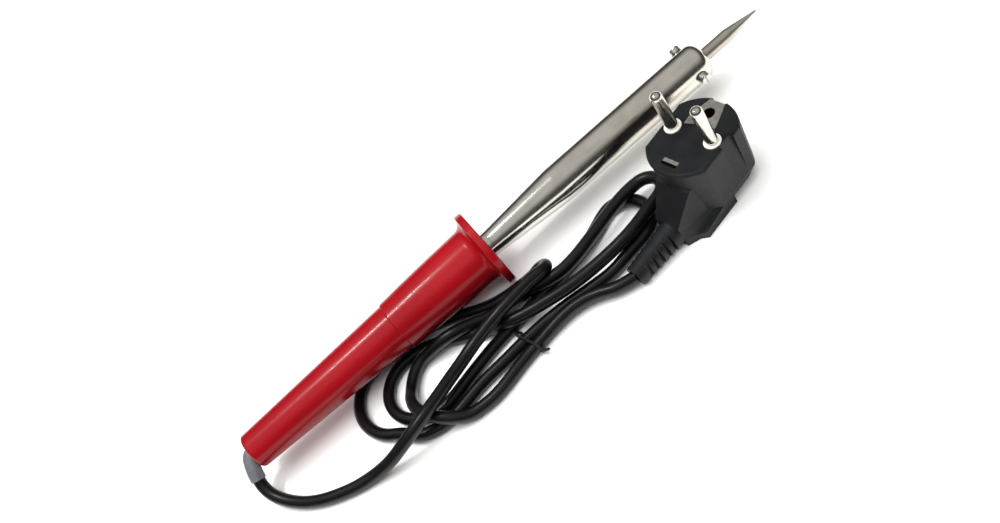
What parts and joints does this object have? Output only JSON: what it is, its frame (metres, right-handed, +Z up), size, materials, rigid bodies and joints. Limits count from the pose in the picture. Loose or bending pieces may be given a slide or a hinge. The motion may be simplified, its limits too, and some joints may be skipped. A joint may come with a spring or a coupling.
{
  "type": "soldering iron",
  "caption": "Mains soldering iron with a red flanged handle, a plated heater barrel, a pointed screw-held bit, and its cord tied in a hank with an angled earthed plug.",
  "frame": {"origin": "half way along the iron without its cord, on its axis in plan, on the surface that the flange rests on", "axes": "+X along the iron from the cord end to the point of the bit, +Z up"},
  "size_m": [0.274, 0.0742, 0.05],
  "materials": {
    "red_handle": "glossy injection-moulded red plastic",
    "zinc_steel": "bright zinc-plated steel",
    "plated_barrel": "polished nickel-plated steel tube",
    "plated_bit": "satin plated copper bit",
    "mica": "rolled mica sheet",
    "nichrome": "drawn resistance wire",
    "ceramic": "unglazed steatite ceramic",
    "glass_sleeve": "woven glass-fibre sleeving",
    "brass": "turned brass",
    "brown_core": "brown PVC core insulation",
    "blue_core": "blue PVC core insulation",
    "earth_core": "green and yellow PVC core insulation",
    "grey_sleeve": "soft grey PVC sleeve",
    "black_cord": "semi-gloss black PVC cord jacket",
    "black_tie": "plastic-covered wire tie",
    "black_plug": "moulded matt PVC",
    "white_carrier": "moulded white plastic",
    "pin_metal": "nickel-plated brass"
  },
  "bodies": {
    "iron": {"barrel_tube": "plated_barrel", "bit_collar": "zinc_steel", "cord_clamp_bar": "zinc_steel", "cord_clamp_screws": "zinc_steel", "cord_core_live": "brown_core", "cord_core_neutral": "blue_core", "cord_entry": "black_cord", "cord_hank": "black_cord", "cord_run": "black_cord", "cord_tail": "black_cord", "cord_tie": "black_tie", "core_tube": "zinc_steel", "earth_band": "brass", "earth_core": "earth_core", "earth_socket": "brass", "earth_strip": "pin_metal", "front_ceramic_washer": "ceramic", "handle_front_shell": "red_handle", "handle_rear_shell": "red_handle", "handle_screw": "zinc_steel", "heater_lead_live": "nichrome", "heater_lead_neutral": "nichrome", "heater_winding": "nichrome", "inner_mica": "mica", "lead_sleeves": "glass_sleeve", "neck_plate": "zinc_steel", "neck_plate_screws": "zinc_steel", "outer_mica": "mica", "pin_carrier": "white_carrier", "plug_body": "black_plug", "plug_cord_end": "black_cord", "plug_core_live": "brown_core", "plug_core_neutral": "blue_core", "plug_pin_live": "pin_metal", "plug_pin_neutral": "pin_metal", "rear_ceramic_washer": "ceramic", "strain_relief_sleeve": "grey_sleeve", "terminal_block": "ceramic", "terminal_screws": "brass"},
    "tip": {"tip": "plated_bit"},
    "tip_screw_near": {"tip_screw_near": "zinc_steel"},
    "tip_screw_far": {"tip_screw_far": "zinc_steel"}
  },
  "joints": [
    {"name": "tip_slide", "type": "slide", "parent": "iron", "child": "tip", "axis": [1, 0, 0], "range_m": [0, 0.05]},
    {"name": "near_screw_travel", "type": "slide", "parent": "iron", "child": "tip_screw_near", "axis": [0, -0.9986, -0.0523], "range_m": [0, 0.002]},
    {"name": "far_screw_travel", "type": "slide", "parent": "iron", "child": "tip_screw_far", "axis": [0, 0.866, 0.5], "range_m": [0, 0.002]}
  ]
}
